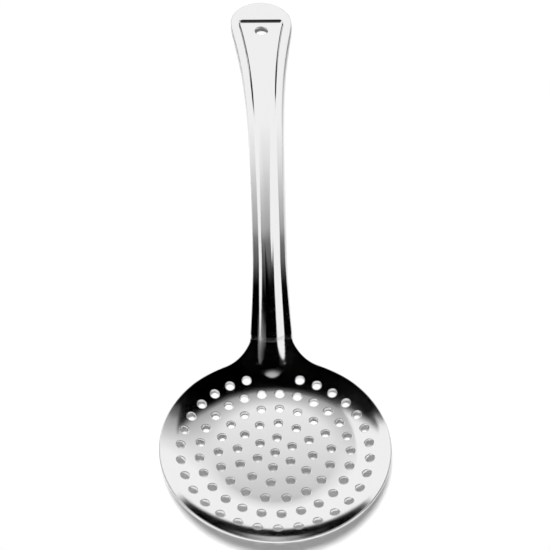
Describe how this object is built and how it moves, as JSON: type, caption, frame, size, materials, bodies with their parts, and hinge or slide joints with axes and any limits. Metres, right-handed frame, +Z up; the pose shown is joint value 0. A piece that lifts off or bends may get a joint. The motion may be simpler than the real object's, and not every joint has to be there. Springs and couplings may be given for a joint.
{
  "type": "kitchen skimmer",
  "caption": "Shallow round perforated bowl on a long arched handle with a pressed trough, a panelled tip and a hanging hole.",
  "frame": {"origin": "middle of the footprint of the skimmer as it rests on a table, at the table's height", "axes": "+Y along the handle from the bowl to the tip, +Z up out of the bowl's open side, +X to the right"},
  "size_m": [0.11, 0.3438, 0.0254],
  "materials": {
    "polished_steel": "mirror-polished stainless steel sheet",
    "dressed_weld": "butt weld ground flush and buffed"
  },
  "bodies": {
    "root": {"bowl": "polished_steel", "neck_weld": "dressed_weld", "handle": "polished_steel"}
  },
  "joints": []
}
